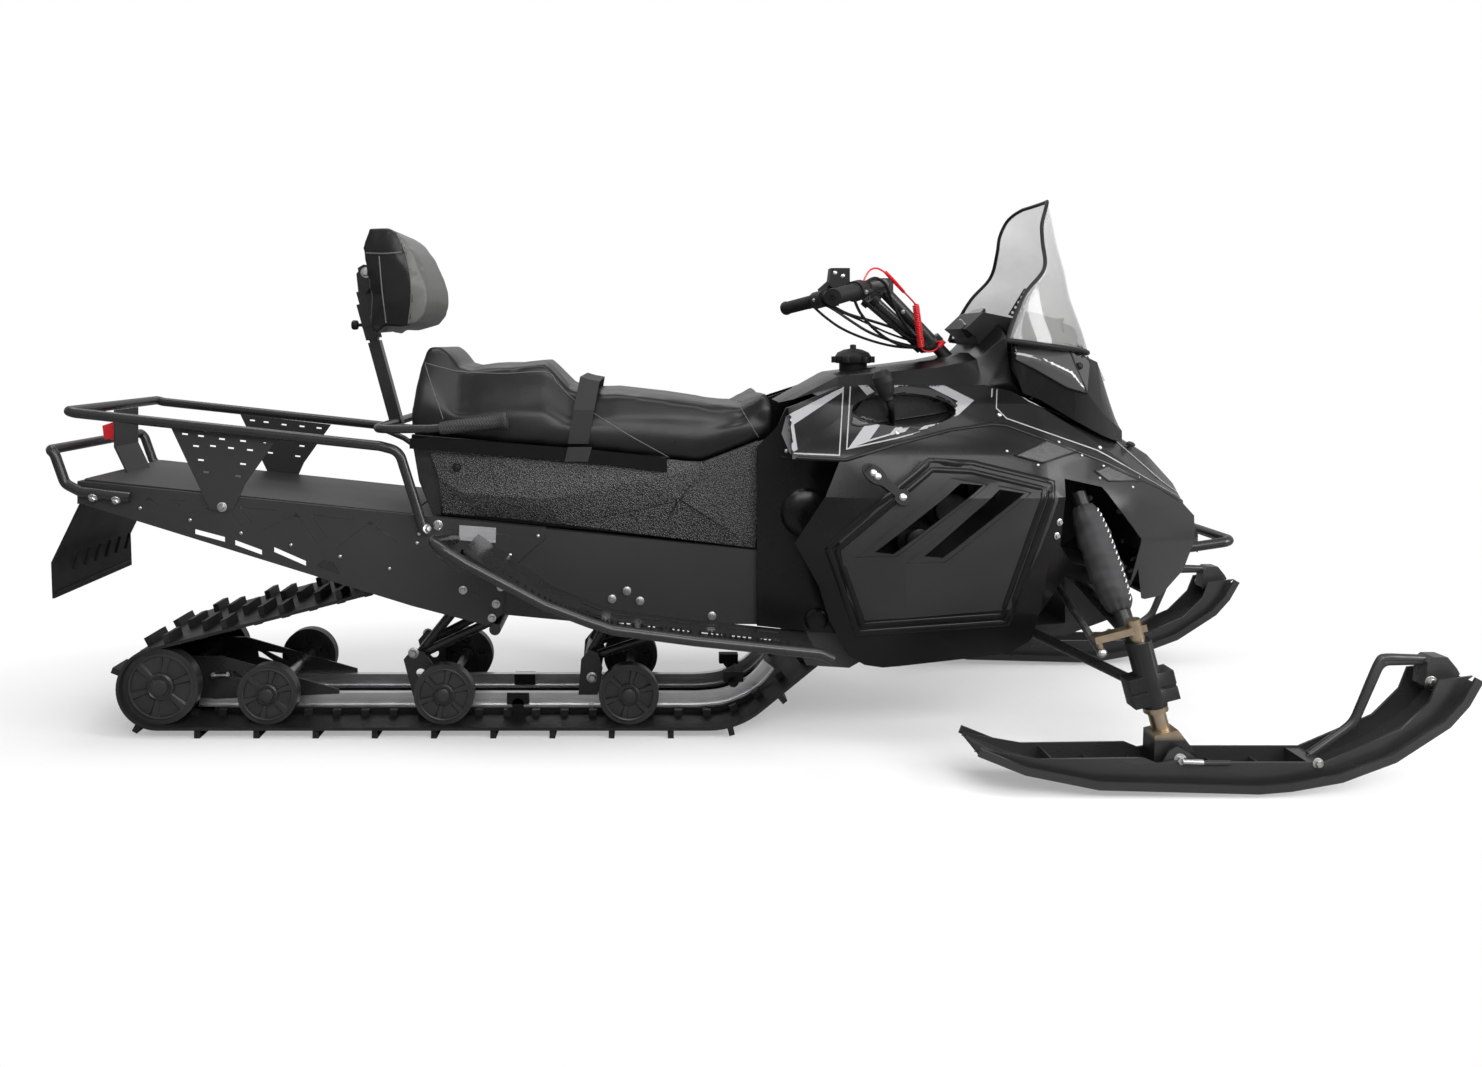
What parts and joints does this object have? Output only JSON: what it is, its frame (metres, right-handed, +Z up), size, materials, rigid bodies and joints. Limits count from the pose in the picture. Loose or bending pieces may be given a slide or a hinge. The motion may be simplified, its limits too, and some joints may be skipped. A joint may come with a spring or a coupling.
{
  "type": "snowmobile",
  "caption": "Long-track utility snowmobile with steered skis, lugged track, two-up seat with backrest, tubular rear rack and louvred body.",
  "frame": {"origin": "on the ground under the middle of the machine's length and width", "axes": "+X forward along the machine, +Y to the rider's left, +Z up"},
  "size_m": [2.952, 1.04, 1.21],
  "materials": {
    "aluminium": "brushed",
    "black_plastic": "textured",
    "black_tube": "satin",
    "bronze": "satin bronze",
    "engine": "cast",
    "foam": "foam core, vinyl cover",
    "gloss_black": "gloss moulded panel",
    "lens": "clear",
    "powder_black": "textured powder coat",
    "red": "gloss",
    "red_lens": "gloss",
    "rubber": "matte",
    "screen": "tinted",
    "ski_plastic": "smooth",
    "steel": "brushed",
    "wheel_plastic": "smooth"
  },
  "bodies": {
    "chassis": {"backrest_post": "black_tube", "board_rails": "black_tube", "body_shell": "gloss_black", "bulkhead": "powder_black", "console": "gloss_black", "dash_pod": "black_plastic", "drive_axle": "steel", "engine_block": "engine", "front_bumper": "black_tube", "front_shocks": "black_tube", "gear_lever": "black_plastic", "grab_bar": "black_tube", "grab_grips": "rubber", "headlamp": "lens", "hood": "gloss_black", "rack_plates": "powder_black", "rack_rail": "black_tube", "rail_sliders": "black_plastic", "rear_bumper": "black_tube", "rear_deck": "powder_black", "running_boards": "powder_black", "screen_straps": "black_tube", "seat": "foam", "seat_box": "black_plastic", "seat_strap": "rubber", "shock_covers": "rubber", "side_cover_left": "gloss_black", "side_cover_right": "gloss_black", "skid_arms": "black_tube", "skid_axles": "steel", "skid_wheels": "wheel_plastic", "slide_rails": "aluminium", "snow_flap": "rubber", "spindle_housings": "black_tube", "suspension_arms": "black_tube", "tail_bracket": "powder_black", "tail_lamp": "red_lens", "tank_cap": "black_plastic", "track": "rubber", "tunnel": "powder_black", "tunnel_extension": "powder_black", "windshield": "screen"},
    "steering": {"steering_riser": "black_tube", "handlebar": "black_tube", "grips": "rubber", "switch_housings": "black_plastic", "control_cables": "rubber", "tether_cord": "red", "tether_coil": "red", "tether_clip": "red"},
    "spindle_right": {"spindle_right": "bronze", "ski_right": "ski_plastic"},
    "spindle_left": {"spindle_left": "bronze", "ski_left": "ski_plastic"},
    "tie_right": {"tie_rod_right": "steel"},
    "tie_left": {"tie_rod_left": "steel"},
    "backrest_slide": {"backrest_sleeve": "black_tube"},
    "backrest_tilt": {"pad_bracket": "black_tube", "backrest_pad": "foam"}
  },
  "joints": [
    {"name": "steering", "type": "hinge", "parent": "chassis", "child": "steering", "pos_m": [0.414, 0, 1.016], "axis": [-0.6892, 0, 0.7246], "range_deg": [-32, 32]},
    {"name": "ski_steer_right", "type": "hinge", "parent": "chassis", "child": "spindle_right", "pos_m": [0.85101, -0.45, 0.22418], "axis": [-0.2501, 0, 0.9682], "range_deg": [-29, 29]},
    {"name": "ski_steer_left", "type": "hinge", "parent": "chassis", "child": "spindle_left", "pos_m": [0.85101, 0.45, 0.22418], "axis": [-0.2501, 0, 0.9682], "range_deg": [-29, 29]},
    {"name": "tie_rod_joint_right", "type": "hinge", "parent": "spindle_right", "child": "tie_right", "pos_m": [0.75442, -0.45, 0.29424], "axis": [-0.2501, 0, 0.9682], "range_deg": [-29, 29]},
    {"name": "tie_rod_joint_left", "type": "hinge", "parent": "spindle_left", "child": "tie_left", "pos_m": [0.75442, 0.45, 0.29424], "axis": [-0.2501, 0, 0.9682], "range_deg": [-29, 29]},
    {"name": "backrest_height", "type": "slide", "parent": "chassis", "child": "backrest_slide", "axis": [-0.2646, 0, 0.9643], "range_m": [0, 0.06]},
    {"name": "backrest_tilt", "type": "hinge", "parent": "backrest_slide", "child": "backrest_tilt", "pos_m": [-0.82, 0, 1.054], "axis": [0, -1, 0], "range_deg": [-4, 20]}
  ],
  "couplings": [
    {"joint": "ski_steer_right", "follows": "steering", "ratio": 0.9},
    {"joint": "ski_steer_left", "follows": "steering", "ratio": 0.9},
    {"joint": "tie_rod_joint_right", "follows": "steering", "ratio": -0.9},
    {"joint": "tie_rod_joint_left", "follows": "steering", "ratio": -0.9}
  ]
}
